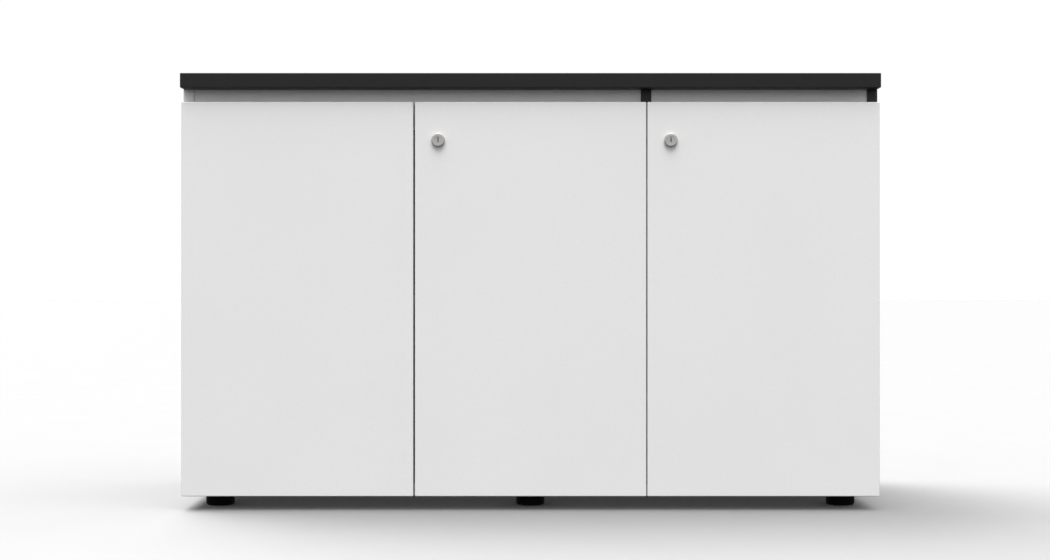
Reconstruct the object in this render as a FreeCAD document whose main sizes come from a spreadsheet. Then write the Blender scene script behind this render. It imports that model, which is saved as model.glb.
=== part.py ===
import FreeCAD, Part
import os
import re
import Sketcher

# Low office cupboard with three doors: two bays, concealed hinges, two cam locks and six levelling feet.
# Frame: millimetres, +Z up, front towards -Y, origin on the floor under the middle of the top.

V = FreeCAD.Vector
Rotation = FreeCAD.Rotation

doc = FreeCAD.newDocument("cupboard")
sheet = doc.addObject("Spreadsheet::Sheet", "sizes")

SIZES = {
    # Overall
    "width": 1200,
    "depth": 450,
    "height": 750,
    "top_thick": 25,
    "top_edge": 1,
    "board": 18,
    "band_thick": 1,
    "foot_height": 24,
    # Doors
    "door_thick": 18,
    "door_edge": 1,
    "door_gap": 2,
    "top_overhang": 12,
    "finger_gap": 23.5,
    "leaf_split_x": -200,
    "leaf_gap": 3,
    "partition_x": 200,
    "partition_gap": 2,
    # Front rails, shelves and their pins
    "rail_height": 70,
    "rail_setback": 2.5,
    "shelf_level": 352,
    "shelf_setback": 25,
    "shelf_clear": 1,
    "pin_dia": 5,
    "pin_depth": 8,
    "pin_reach": 9,
    "pin_fit": 0.05,
    "pin_inset": 60,
    "pin_pitch": 32,
    # Glued dowels
    "dowel_dia": 8,
    "dowel_face": 12,
    "dowel_end": 18,
    "dowel_fit": 0.05,
    "dowel_clear": 0.5,
    "dowel_inset": 60,
    "rail_dowel_inset": 16,
    # Steel brackets under the top
    "bracket_leg": 24,
    "bracket_width": 20,
    "bracket_sheet": 2,
    "bracket_inset": 92,
    # Concealed hinges, measured from the door's hinge edge and from the carcass front
    "hinge_inset": 110,
    "cup_dia": 35,
    "cup_edge": 3,
    "cup_depth": 13,
    "cup_wall": 1,
    "cup_fit": 0.1,
    "flange_thick": 1.1,
    "ear_offset": 9.5,
    "ear_width": 10,
    "ear_span": 57,
    "ear_corner": 3,
    "cup_pin_u": 9.5,
    "cup_pin_v": -8,
    "arm_pin_u": 27,
    "arm_pin_v": 12,
    "hinge_pin_dia": 2.4,
    "pin_run": 0.05,
    "pin_press": 0.01,
    "link_width": 6,
    "link_bar": 4,
    "link_eye": 5.2,
    "link_side": 0.4,
    "cheek": 1.5,
    "lug_half": 2.8,
    "arm_nose": 4,
    "arm_drop": 4,
    "arm_length": 54,
    "arm_corner": 2.5,
    "fork_back": 5,
    "plate_start": 26,
    "plate_length": 32,
    "wing_v": 37,
    "wing_width": 16,
    "wing_span": 50,
    "wing_thick": 2.5,
    "wing_corner": 5,
    "ridge_clear": 0.2,
    # Cam locks
    "lock_inset": 40,
    "lock_drop": 65.5,
    "bezel_dia": 23,
    "bezel_proud": 6.5,
    "bezel_edge": 1.5,
    "barrel_dia": 18,
    "barrel_fit": 0.1,
    "barrel_behind": 5.7,
    "plug_dia": 12,
    "plug_run": 0.05,
    "plug_recess": 0.5,
    "key_width": 1.8,
    "key_height": 8,
    "key_depth": 12,
    "tang": 6,
    "tang_fit": 0.05,
    "lock_nut_flats": 24,
    "lock_nut_thick": 4,
    "cam_thick": 2.5,
    "cam_width": 13,
    "cam_gap": 0.3,
    "cam_corner": 3.5,
    "cam_catch": 10.5,
    "cam_tip_clear": 2,
    # Keeper on the partition and strike on the left door
    "keeper_sheet": 2.3,
    "keeper_leg": 16,
    "keeper_depth": 30,
    "keeper_height": 28,
    "catch_clear": 0.7,
    "strike_width": 22,
    "strike_height": 32,
    "strike_inset": 1.5,
    # Slide bolt on the left door
    "bolt_inset": 40,
    "bolt_dia": 6,
    "bolt_run": 0.08,
    "bolt_travel": 14,
    "bolt_gap": 2.5,
    "bolt_length": 76,
    "guide_width": 24,
    "guide_sheet": 2,
    "guide_eye": 12,
    "guide_eye_height": 14,
    "guide_window": 27,
    "guide_nose": 10.5,
    "knob_dia": 8,
    "knob_length": 12,
    "knob_clear": 0.3,
    "bolt_plate_sheet": 2,
    "bolt_plate_length": 44,
    "bolt_plate_width": 14,
    "bolt_hole_clear": 0.75,
    "bolt_hole_spare": 2,
    # Door bumpers
    "bumper_dia": 8,
    "bumper_inset": 12,
    "bumper_clear": 0.2,
    # Levelling feet
    "foot_dia": 50,
    "foot_edge": 4,
    "stud_dia": 8,
    "stud_length": 16,
    "stud_run": 0.05,
    "foot_inset_x": 53,
    "foot_inset_front": 62,
    "foot_inset_rear": 50,
    "nut_dia": 12,
    "nut_length": 13,
    "nut_fit": 0.05,
    "stud_spare": 1,
}

for row, (alias, value) in enumerate(SIZES.items(), start=1):
    sheet.set(f"A{row}", alias.replace("_", " "))
    sheet.set(f"B{row}", str(value))
    sheet.setAlias(f"B{row}", alias)
doc.recompute()

WORDS = re.compile(r"\b(" + "|".join(sorted(SIZES, key=len, reverse=True)) + r")\b")

# Planes and faces that several pieces share
DOOR_BACK = "(-depth / 2 + top_overhang + door_thick)"
DOOR_FRONT = "(-depth / 2 + top_overhang)"
CARCASS_FRONT = "(-depth / 2 + top_overhang + door_thick + door_gap)"
BACK = "(depth / 2)"
BACK_INNER = "(depth / 2 - board)"
TOP_UNDER = "(height - top_thick)"
DOOR_TOP = "(height - top_thick - finger_gap)"
BASE_TOP = "(foot_height + board)"
LEFT_INNER = "(-width / 2 + board)"
RIGHT_INNER = "(width / 2 - board)"
PART_LEFT = "(partition_x - board / 2)"
PART_RIGHT = "(partition_x + board / 2)"
RAIL_FRONT = f"({CARCASS_FRONT} + rail_setback)"
RAIL_BACK = f"({RAIL_FRONT} + board)"
RAIL_UNDER = f"({TOP_UNDER} - rail_height)"
LEFT_DOOR_END = "(leaf_split_x - leaf_gap / 2)"
MIDDLE_DOOR_START = "(leaf_split_x + leaf_gap / 2)"
MIDDLE_DOOR_END = "(partition_x - partition_gap / 2)"
RIGHT_DOOR_START = "(partition_x + partition_gap / 2)"
LOW_HINGE = "(foot_height + hinge_inset)"
HIGH_HINGE = f"({DOOR_TOP} - hinge_inset)"

# Sides of the round pieces that repeat: cups and feet, small rods and bores, short pegs and their holes, nuts
MANY_SIDES = 24
SIDES = 12
FEW_SIDES = 8
HEX_SIDES = 6

# Turns of pieces that are drawn facing right
FACING_RIGHT = Rotation()
FACING_LEFT = Rotation(V(0, 0, 1), 180)

nodes = []


def tied(text):
    """Write the sheet's name before every size in an expression."""
    return WORDS.sub(r"sizes.\1", str(text))


def val(text):
    return float(sheet.evalExpression(tied(text)))


def bind(piece, prop, text):
    piece.setExpression(prop, tied(text))


def node(piece):
    nodes.append(piece)
    return piece


# Plain solids and cuts

def block(name, x, y, z):
    """Box between two expressions on each axis."""
    piece = doc.addObject("Part::Box", name)
    for axis, prop, (low, high) in zip("xyz", ("Length", "Width", "Height"), (x, y, z)):
        bind(piece, f"Placement.Base.{axis}", low)
        bind(piece, prop, f"({high}) - ({low})")
    return piece


TURN = {
    "x": Rotation(V(0, 1, 0), 90),
    "y": Rotation(V(1, 0, 0), -90),
    "z": Rotation(),
}


def rod(name, axis, x, y, z, radius, length, sides=SIDES):
    """Many-sided rod that starts at a point and runs along +axis."""
    piece = doc.addObject("Part::Prism", name)
    piece.Polygon = sides
    piece.Placement = FreeCAD.Placement(V(), TURN[axis])
    for key, text in zip("xyz", (x, y, z)):
        bind(piece, f"Placement.Base.{key}", text)
    bind(piece, "Circumradius", radius)
    bind(piece, "Height", length)
    return piece


def group(name, pieces):
    piece = doc.addObject("Part::Compound", name)
    piece.Links = pieces
    return piece


def fuse(name, pieces):
    piece = doc.addObject("Part::MultiFuse", name)
    piece.Shapes = pieces
    return piece


def cut(name, base, tools):
    piece = doc.addObject("Part::Cut", name)
    piece.Base = base
    piece.Tool = group(name + "_cuts", tools)
    return piece


# Bodies drawn from sketches

def new_body(name):
    return doc.addObject("PartDesign::Body", name)


def sketch(body, name, role, shift="0"):
    """Sketch on one of the body's own planes, moved along that plane's normal."""
    drawing = body.newObject("Sketcher::SketchObject", f"{body.Name}_{name}")
    plane = [item for item in body.Origin.OriginFeatures if item.Role == role][0]
    drawing.AttachmentSupport = [(plane, "")]
    drawing.MapMode = "FlatFace"
    bind(drawing, "AttachmentOffset.Base.z", shift)
    return drawing


def pin_point(drawing, geometry, vertex, x, y):
    for kind, text in (("DistanceX", x), ("DistanceY", y)):
        number = drawing.addConstraint(Sketcher.Constraint(kind, -1, 1, geometry, vertex, val(text)))
        bind(drawing, f"Constraints[{number}]", text)


def polygon(drawing, points):
    corners = [V(val(x), val(y), 0) for x, y in points]
    count = len(points)
    lines = []
    for index in range(count):
        line = Part.LineSegment(corners[index], corners[(index + 1) % count])
        lines.append(drawing.addGeometry(line, False))
    for index in range(count):
        following = lines[(index + 1) % count]
        drawing.addConstraint(Sketcher.Constraint("Coincident", lines[index], 2, following, 1))
    for index, (x, y) in enumerate(points):
        pin_point(drawing, lines[index], 1, x, y)


def rectangle(drawing, x, y):
    polygon(drawing, ((x[0], y[0]), (x[1], y[0]), (x[1], y[1]), (x[0], y[1])))


def circle(drawing, x, y, radius):
    shape = Part.Circle(V(val(x), val(y), 0), V(0, 0, 1), val(radius))
    number = drawing.addGeometry(shape, False)
    pin_point(drawing, number, 3, x, y)
    size = drawing.addConstraint(Sketcher.Constraint("Radius", number, val(radius)))
    bind(drawing, f"Constraints[{size}]", radius)


def ring_of_sides(drawing, x, y, radius, sides=SIDES):
    """Regular polygon about a point."""
    corners = []
    for index in range(sides):
        turn = 360 * index / sides
        corners.append((f"{x} + ({radius}) * cos({turn})", f"{y} + ({radius}) * sin({turn})"))
    polygon(drawing, corners)


def feature(body, kind, drawing, length, both, back):
    """Pad or Pocket of a sketch; the body's tip moves to it."""
    step = body.newObject("PartDesign::" + kind, f"{drawing.Name}_{kind}")
    step.Profile = drawing
    bind(step, "Length", length)
    if both:
        step.SideType = "Symmetric"
    step.Reversed = back
    body.Tip = step
    doc.recompute()
    return step


def pad(body, drawing, length, both=False, back=False):
    return feature(body, "Pad", drawing, length, both, back)


def pocket(body, drawing, length, both=False, back=False):
    volume = body.Shape.Volume
    step = feature(body, "Pocket", drawing, length, both, back)
    if body.Shape.Volume >= volume:
        raise RuntimeError(f"{step.Name} removes nothing")
    return step


def chamfer(body, size, chosen):
    """Bevel the edges of the body's tip that a test picks out."""
    base = body.Tip
    names = [f"Edge{i}" for i, edge in enumerate(base.Shape.Edges, start=1) if chosen(edge)]
    step = body.newObject("PartDesign::Chamfer", f"{base.Name}_Chamfer")
    step.Base = (base, names)
    bind(step, "Size", size)
    body.Tip = step
    doc.recompute()
    return step


def close(a, b):
    return abs(a - b) < 1e-6


def runs_along(edge, axis):
    """True for a straight edge parallel to an axis."""
    if edge.Curve.TypeId != "Part::GeomLine":
        return False
    direction = edge.Curve.Direction
    return close(abs(direction.dot(axis)), 1)


def copies(name, sources, spots):
    """One node that holds a placed copy of every source at every spot."""
    doc.recompute()
    shapes = []
    for spot in spots:
        for source in sources:
            shape = source.Shape.copy()
            shape.Placement = spot.multiply(shape.Placement)
            shapes.append(shape)
    piece = doc.addObject("Part::Feature", name)
    piece.Shape = shapes[0] if len(shapes) == 1 else Part.makeCompound(shapes)
    return piece


def spot(x, y, z, rotation=Rotation()):
    return FreeCAD.Placement(V(val(x), val(y), val(z)), rotation)


# Top panel
top = new_body("top_panel")
drawing = sketch(top, "outline", "XY_Plane")
rectangle(drawing, ("-width / 2", "width / 2"), ("-depth / 2", "depth / 2"))
pad(top, drawing, "top_thick")
chamfer(top, "top_edge", lambda edge: True)
bind(top, "Placement.Base.z", TOP_UNDER)
node(top)

# Dowels: each has one hole that runs through the joint into both boards
dowel_pins = []


def dowel(name, axis, x, y, z, span):
    """Hole of a dowel from its low end, and the dowel inside it."""
    start = {"x": x, "y": y, "z": z}
    hole_length = f"{span} + 2 * dowel_clear"
    hole = rod(name + "_hole", axis, x, y, z, "dowel_dia / 2 + dowel_fit", hole_length, FEW_SIDES)
    start[axis] = f"{start[axis]} + dowel_clear"
    pin = rod(name, axis, start["x"], start["y"], start["z"], "dowel_dia / 2", span, FEW_SIDES)
    dowel_pins.append(pin)
    return hole


SPAN = "(dowel_face + dowel_end)"
DOWEL_ROWS = {
    "front": f"({CARCASS_FRONT} + dowel_inset)",
    "rear": f"({BACK_INNER} - dowel_inset)",
}
BASE_MIDDLE = "(foot_height + board / 2)"
LEFT_START = f"({LEFT_INNER} - dowel_face - dowel_clear)"
RIGHT_START = f"({RIGHT_INNER} - dowel_end - dowel_clear)"

left_holes = []
right_holes = []
partition_holes = []
base_holes = []
wide_rail_holes = []
narrow_rail_holes = []

for row, y in DOWEL_ROWS.items():
    left = dowel(f"left_base_{row}_dowel", "x", LEFT_START, y, BASE_MIDDLE, SPAN)
    right = dowel(f"right_base_{row}_dowel", "x", RIGHT_START, y, BASE_MIDDLE, SPAN)
    stand = f"({BASE_TOP} - dowel_face - dowel_clear)"
    middle = dowel(f"partition_{row}_dowel", "z", "partition_x", y, stand, SPAN)
    left_holes.append(left)
    right_holes.append(right)
    partition_holes.append(middle)
    base_holes += [left, right, middle]

RAIL_ROWS = {
    "upper": f"({TOP_UNDER} - rail_dowel_inset)",
    "lower": f"({RAIL_UNDER} + rail_dowel_inset)",
}
RAIL_MIDDLE = f"({RAIL_FRONT} + board / 2)"
THROUGH = "(2 * dowel_end + board)"
THROUGH_START = f"({PART_LEFT} - dowel_end - dowel_clear)"

for row, z in RAIL_ROWS.items():
    left = dowel(f"left_rail_{row}_dowel", "x", LEFT_START, RAIL_MIDDLE, z, SPAN)
    right = dowel(f"right_rail_{row}_dowel", "x", RIGHT_START, RAIL_MIDDLE, z, SPAN)
    middle = dowel(f"partition_rail_{row}_dowel", "x", THROUGH_START, RAIL_MIDDLE, z, THROUGH)
    left_holes.append(left)
    right_holes.append(right)
    partition_holes.append(middle)
    wide_rail_holes += [left, middle]
    narrow_rail_holes += [right, middle]

# Shelf pin holes: three heights in two rows on each wall of a bay
PIN_ROWS = {
    "front": f"({CARCASS_FRONT} + pin_inset)",
    "rear": f"({BACK_INNER} - pin_inset)",
}
PIN_LEVEL = "(shelf_level - pin_dia / 2)"
PIN_WALLS = {
    "left": (f"({LEFT_INNER} - pin_depth)", left_holes, LEFT_INNER, FACING_RIGHT),
    "wide": (PART_LEFT, partition_holes, PART_LEFT, FACING_LEFT),
    "narrow": (f"({PART_RIGHT} - pin_depth)", partition_holes, PART_RIGHT, FACING_RIGHT),
    "right": (RIGHT_INNER, right_holes, RIGHT_INNER, FACING_LEFT),
}
PIN_STEPS = (-1, 0, 1)

pin_spots = []
for wall, (start, holes, face, turn) in PIN_WALLS.items():
    for row, y in PIN_ROWS.items():
        pin_spots.append(spot(face, y, PIN_LEVEL, turn))
        for step in PIN_STEPS:
            level = f"({PIN_LEVEL} + {step} * pin_pitch)"
            name = f"pin_hole_{wall}_{row}_{step + 1}"
            radius = "pin_dia / 2 + pin_fit"
            holes.append(rod(name, "x", start, y, level, radius, "pin_depth", FEW_SIDES))

# Feet: centres, insert nut holes in the base
FOOT_X = {
    "left": "(-width / 2 + foot_inset_x)",
    "middle": "0",
    "right": "(width / 2 - foot_inset_x)",
}
FOOT_Y = {
    "front": f"({CARCASS_FRONT} + foot_inset_front)",
    "rear": "(depth / 2 - foot_inset_rear)",
}
FOOT_SPOTS = {}
for row, y in FOOT_Y.items():
    for side, x in FOOT_X.items():
        FOOT_SPOTS[f"{row}_{side}"] = (x, y)
        depth_text = "stud_length + stud_spare"
        name = f"{row}_{side}_nut_hole"
        hole = rod(name, "z", x, y, "foot_height", "nut_dia / 2 + nut_fit", depth_text, FEW_SIDES)
        base_holes.append(hole)

# Bolt hole in the wide bay's rail
BOLT_X = f"({LEFT_DOOR_END} - bolt_inset)"
BOLT_HOLE = "(bolt_dia / 2 + bolt_hole_clear)"
BOLT_PLATE_UNDER = f"({RAIL_UNDER} - bolt_plate_sheet)"
BOLT_TOP = f"({BOLT_PLATE_UNDER} - bolt_gap)"
rail_depth = "bolt_travel - bolt_gap - bolt_plate_sheet + bolt_hole_spare"
wide_rail_holes.append(rod("bolt_rail_hole", "z", BOLT_X, RAIL_MIDDLE, RAIL_UNDER, BOLT_HOLE, rail_depth))

# Carcass boards
BOARD_FRONT = f"({CARCASS_FRONT} + band_thick)"
full_height = ("foot_height", TOP_UNDER)
above_base = (BASE_TOP, TOP_UNDER)
rail_span = (RAIL_UNDER, TOP_UNDER)
rail_depth_span = (RAIL_FRONT, RAIL_BACK)

left_board = block("left_board", ("-width / 2", LEFT_INNER), (BOARD_FRONT, BACK), full_height)
right_board = block("right_board", (RIGHT_INNER, "width / 2"), (BOARD_FRONT, BACK), full_height)
middle_board = block("middle_board", (PART_LEFT, PART_RIGHT), (BOARD_FRONT, BACK_INNER), above_base)
base_board = block("base_board", (LEFT_INNER, RIGHT_INNER), (CARCASS_FRONT, BACK), ("foot_height", BASE_TOP))
wide_board = block("wide_board", (LEFT_INNER, PART_LEFT), rail_depth_span, rail_span)
narrow_board = block("narrow_board", (PART_RIGHT, RIGHT_INNER), rail_depth_span, rail_span)
node(cut("left_side_panel", left_board, left_holes))
node(cut("right_side_panel", right_board, right_holes))
node(cut("partition_panel", middle_board, partition_holes))
node(cut("base_panel", base_board, base_holes))
node(block("back_panel", (LEFT_INNER, RIGHT_INNER), (BACK_INNER, BACK), above_base))
node(cut("wide_bay_front_rail", wide_board, wide_rail_holes))
node(cut("narrow_bay_front_rail", narrow_board, narrow_rail_holes))
node(group("joint_dowels", dowel_pins))

# Edge bands on the upright boards
band = (CARCASS_FRONT, BOARD_FRONT)
node(block("left_edge_band", ("-width / 2", LEFT_INNER), band, full_height))
node(block("partition_edge_band", (PART_LEFT, PART_RIGHT), band, above_base))
node(block("right_edge_band", (RIGHT_INNER, "width / 2"), band, full_height))

# Shelves on their pins
shelf_y = (f"{CARCASS_FRONT} + shelf_setback", f"{BACK_INNER} - shelf_clear")
shelf_z = ("shelf_level", "shelf_level + board")
wide_x = (f"{LEFT_INNER} + shelf_clear", f"{PART_LEFT} - shelf_clear")
narrow_x = (f"{PART_RIGHT} + shelf_clear", f"{RIGHT_INNER} - shelf_clear")
node(block("wide_bay_shelf", wide_x, shelf_y, shelf_z))
node(block("narrow_bay_shelf", narrow_x, shelf_y, shelf_z))
pin_length = "pin_depth + pin_reach"
pin_master = rod("pin_master", "x", "-pin_depth", "0", "0", "pin_dia / 2", pin_length, FEW_SIDES)
node(copies("shelf_pins", [pin_master], pin_spots))

# Steel brackets that hold the top
bracket = new_body("bracket_master")
drawing = sketch(bracket, "profile", "XZ_Plane")
polygon(drawing, (
    ("0", "0"),
    ("0", "-bracket_leg"),
    ("bracket_sheet", "-bracket_leg"),
    ("bracket_sheet", "-bracket_sheet"),
    ("bracket_leg", "-bracket_sheet"),
    ("bracket_leg", "0"),
))
pad(bracket, drawing, "bracket_width", both=True)
BRACKET_ROWS = (f"({CARCASS_FRONT} + bracket_inset)", f"({BACK_INNER} - bracket_inset)")
BRACKET_WALLS = ((LEFT_INNER, FACING_RIGHT), (PART_LEFT, FACING_LEFT), (RIGHT_INNER, FACING_LEFT))
bracket_spots = []
for face, turn in BRACKET_WALLS:
    for y in BRACKET_ROWS:
        bracket_spots.append(spot(face, y, TOP_UNDER, turn))
node(copies("top_fixing_angles", [bracket], bracket_spots))

# Hinge masters: u from the door's hinge edge along X, v from the carcass front along Y
CUP_U = "(cup_edge + cup_dia / 2)"
EAR_U = f"({CUP_U} + ear_offset)"
CHEEK_IN = "(link_width / 2 + link_side)"
CHEEK_OUT = f"({CHEEK_IN} + cheek)"
CUP_FLOOR = "(-door_gap - cup_depth + cup_wall)"
ARM_TOP = "(arm_pin_u + link_eye / 2 + link_side)"
ARM_FRONT = "(arm_pin_v - arm_nose)"
PIN_HOLE = f"((hinge_pin_dia / 2 + pin_run) / cos(180 / {FEW_SIDES}))"
PIN_SEAT = f"((hinge_pin_dia / 2 + pin_press) / cos(180 / {FEW_SIDES}))"

cup = new_body("cup_master")
drawing = sketch(cup, "bowl", "XZ_Plane", "door_gap - flange_thick")
ring_of_sides(drawing, CUP_U, "0", "cup_dia / 2", MANY_SIDES)
pad(cup, drawing, "cup_depth + flange_thick")
drawing = sketch(cup, "ears", "XZ_Plane", "door_gap")
ear_u = (f"{EAR_U} - ear_width / 2", f"{EAR_U} + ear_width / 2")
rectangle(drawing, ear_u, ("-ear_span / 2", "ear_span / 2"))
pad(cup, drawing, "flange_thick", back=True)
ear_ends = (val("-ear_span / 2"), val("ear_span / 2"))


def ear_tip(edge):
    """Upright edge at the tip of an ear."""
    return runs_along(edge, V(0, 1, 0)) and any(close(edge.CenterOfMass.z, end) for end in ear_ends)


chamfer(cup, "ear_corner", ear_tip)
drawing = sketch(cup, "hollow", "XZ_Plane", "door_gap - flange_thick")
ring_of_sides(drawing, CUP_U, "0", "cup_dia / 2 - cup_wall", MANY_SIDES)
pocket(cup, drawing, "flange_thick + cup_depth - cup_wall", back=True)
for side, shift in (("upper", CHEEK_IN), ("lower", f"-{CHEEK_OUT}")):
    drawing = sketch(cup, f"{side}_lug", "XY_Plane", shift)
    rectangle(drawing, ("cup_pin_u - lug_half", "cup_pin_u + lug_half"), (CUP_FLOOR, "cup_pin_v + lug_half"))
    pad(cup, drawing, "cheek")
drawing = sketch(cup, "pin_hole", "XY_Plane")
ring_of_sides(drawing, "cup_pin_u", "cup_pin_v", PIN_HOLE, FEW_SIDES)
pocket(cup, drawing, f"2 * {CHEEK_OUT}", both=True)

arm = new_body("arm_master")
drawing = sketch(arm, "side", "XY_Plane")
arm_v = (ARM_FRONT, f"{ARM_FRONT} + arm_length")
rectangle(drawing, ("arm_pin_u - arm_drop", f"{ARM_TOP} + cheek"), arm_v)
pad(arm, drawing, f"2 * {CHEEK_OUT}", both=True)
arm_nose = val(ARM_FRONT)
chamfer(arm, "arm_corner", lambda edge: runs_along(edge, V(0, 0, 1)) and close(edge.CenterOfMass.y, arm_nose))
drawing = sketch(arm, "channel", "XY_Plane")
BEFORE_ARM = f"{ARM_FRONT} - arm_nose"
channel_v = (BEFORE_ARM, f"{ARM_FRONT} + 2 * arm_length")
rectangle(drawing, ("arm_pin_u - 2 * arm_drop", ARM_TOP), channel_v)
pocket(arm, drawing, f"2 * {CHEEK_IN}", both=True)
drawing = sketch(arm, "fork", "XY_Plane")
fork_v = (BEFORE_ARM, "arm_pin_v + fork_back")
rectangle(drawing, (f"{ARM_TOP} - cheek", f"{ARM_TOP} + 2 * cheek"), fork_v)
pocket(arm, drawing, f"2 * {CHEEK_IN}", both=True)
drawing = sketch(arm, "pin_hole", "XY_Plane")
ring_of_sides(drawing, "arm_pin_u", "arm_pin_v", PIN_HOLE, FEW_SIDES)
pocket(arm, drawing, f"2 * {CHEEK_OUT}", both=True)


def hinge_plate(name, wall):
    """Wing plate on a wall face, with the ridge that carries the arm."""
    body = new_body(name)
    drawing = sketch(body, "ridge", "XY_Plane")
    rectangle(drawing, (wall, ARM_TOP), ("plate_start", "plate_start + plate_length"))
    pad(body, drawing, f"2 * ({CHEEK_IN} - ridge_clear)", both=True)
    drawing = sketch(body, "wings", "XY_Plane")
    wing_v = ("wing_v - wing_width / 2", "wing_v + wing_width / 2")
    rectangle(drawing, (wall, f"{wall} + wing_thick"), wing_v)
    pad(body, drawing, "wing_span", both=True)
    tips = (val("-wing_span / 2"), val("wing_span / 2"))

    def tip_corner(edge):
        return runs_along(edge, V(1, 0, 0)) and any(close(edge.CenterOfMass.z, tip) for tip in tips)

    chamfer(body, "wing_corner", tip_corner)
    return body


full_plate = hinge_plate("full_plate_master", "board")
half_plate = hinge_plate("half_plate_master", "(board / 2 - partition_gap / 2)")

# Half-ring link between the two pins; it bows clear of the door's edge
REACH_U = "(arm_pin_u - cup_pin_u)"
REACH_V = "(arm_pin_v - cup_pin_v)"
BOW = f"(sqrt({REACH_U} ^ 2 + {REACH_V} ^ 2) / 2)"
link = new_body("link_master")
drawing = sketch(link, "bow", "XY_Plane")
outer = []
inner = []
for step in range(FEW_SIDES + 1):
    turn = -180 * step / FEW_SIDES
    outer.append((f"({BOW} + link_bar / 2) * cos({turn})", f"({BOW} + link_bar / 2) * sin({turn})"))
    inner.append((f"({BOW} - link_bar / 2) * cos({turn})", f"({BOW} - link_bar / 2) * sin({turn})"))
polygon(drawing, outer + inner[::-1])
pad(link, drawing, "link_width", both=True)
for end, x in (("cup", f"-{BOW}"), ("arm", BOW)):
    drawing = sketch(link, f"{end}_eye", "XY_Plane")
    ring_of_sides(drawing, x, "0", "link_eye / 2", FEW_SIDES)
    pad(link, drawing, "link_width", both=True)
    drawing = sketch(link, f"{end}_bore", "XY_Plane")
    ring_of_sides(drawing, x, "0", PIN_SEAT, FEW_SIDES)
    pocket(link, drawing, "link_width", both=True)
bind(link, "Placement.Base.x", "(cup_pin_u + arm_pin_u) / 2")
bind(link, "Placement.Base.y", "(cup_pin_v + arm_pin_v) / 2")
PIN_START = f"-{CHEEK_OUT}"
PIN_SPAN = f"2 * {CHEEK_OUT}"
bind(link, "Placement.Rotation.Angle", f"atan2({REACH_V}; {REACH_U})")


def hinge_pin(name, u, v):
    """Round pin from cheek to cheek."""
    pin = doc.addObject("Part::Cylinder", name)
    bind(pin, "Radius", "hinge_pin_dia / 2")
    bind(pin, "Height", PIN_SPAN)
    for key, text in zip("xyz", (u, v, PIN_START)):
        bind(pin, f"Placement.Base.{key}", text)
    return pin


cup_pin = hinge_pin("cup_pin_master", "cup_pin_u", "cup_pin_v")
arm_pin = hinge_pin("arm_pin_master", "arm_pin_u", "arm_pin_v")

# Doors
ROUND_BACK = Rotation(V(0, 1, 0), 180)
HINGE_LEVELS = (LOW_HINGE, HIGH_HINGE)
LOCK_Z = f"({DOOR_TOP} - lock_drop)"
MIDDLE_LOCK_X = f"({MIDDLE_DOOR_START} + lock_inset)"
RIGHT_LOCK_X = f"({RIGHT_DOOR_START} + lock_inset)"


def door(name, start, end, cup_x, lock_x=None):
    """Board with rounded edges, two cup bores in its back and a lock bore where it has a lock."""
    body = new_body(name)
    drawing = sketch(body, "outline", "XZ_Plane")
    rectangle(drawing, (start, end), ("foot_height", DOOR_TOP))
    pad(body, drawing, "door_thick")
    chamfer(body, "door_edge", lambda edge: True)
    drawing = sketch(body, "cup_bores", "XZ_Plane")
    for z in HINGE_LEVELS:
        circle(drawing, cup_x, z, "cup_dia / 2 + cup_fit")
    pocket(body, drawing, "cup_depth + cup_fit", back=True)
    if lock_x:
        drawing = sketch(body, "lock_bore", "XZ_Plane")
        circle(drawing, lock_x, LOCK_Z, "barrel_dia / 2 + barrel_fit")
        pocket(body, drawing, "door_thick", back=True)
    bind(body, "Placement.Base.y", DOOR_BACK)
    return node(body)


door("left_door", "-width / 2", LEFT_DOOR_END, f"-width / 2 + {CUP_U}")
door("middle_door", MIDDLE_DOOR_START, MIDDLE_DOOR_END, f"{MIDDLE_DOOR_END} - {CUP_U}", MIDDLE_LOCK_X)
door("right_door", RIGHT_DOOR_START, "width / 2", f"width / 2 - {CUP_U}", RIGHT_LOCK_X)

# Hinges, two to a door
HINGE_SIDES = {
    "left": ("-width / 2", Rotation(), full_plate),
    "middle": (MIDDLE_DOOR_END, ROUND_BACK, half_plate),
    "right": ("width / 2", ROUND_BACK, full_plate),
}
for side, (edge_x, turn, plate) in HINGE_SIDES.items():
    spots = [spot(edge_x, CARCASS_FRONT, z, turn) for z in HINGE_LEVELS]
    node(copies(f"{side}_hinge_cups", [cup], spots))
    node(copies(f"{side}_hinge_links", [link, cup_pin, arm_pin], spots))
    node(copies(f"{side}_hinge_arms", [arm], spots))
    node(copies(f"{side}_hinge_plates", [plate], spots))

# Bumpers behind the free edge of each door: against the base below, against the rail above
BUMPER_ENDS = {
    "left": f"({LEFT_DOOR_END} - bumper_inset)",
    "middle": f"({MIDDLE_DOOR_START} + bumper_inset)",
    "right": f"({RIGHT_DOOR_START} + board / 2 + bumper_inset)",
}
for side, x in BUMPER_ENDS.items():
    low_z = BASE_MIDDLE
    high_z = f"({DOOR_TOP} - bumper_inset)"
    low_reach = "door_gap - bumper_clear"
    high_reach = "door_gap + rail_setback - bumper_clear"
    low = rod(f"{side}_low_bumper", "y", x, DOOR_BACK, low_z, "bumper_dia / 2", low_reach)
    high = rod(f"{side}_high_bumper", "y", x, DOOR_BACK, high_z, "bumper_dia / 2", high_reach)
    node(group(f"{side}_door_bumpers", [low, high]))

# Cam lock masters: axis along Z, door front at zero, outside upwards
LOCK_END = "(door_thick + barrel_behind)"
PLUG_BORE = f"((plug_dia / 2 + plug_run) / cos(180 / {MANY_SIDES}))"
housing = new_body("housing_master")
drawing = sketch(housing, "bezel", "XY_Plane")
circle(drawing, "0", "0", "bezel_dia / 2")
pad(housing, drawing, "bezel_proud")
rim = (val("bezel_dia / 2"), val("bezel_proud"))


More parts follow.
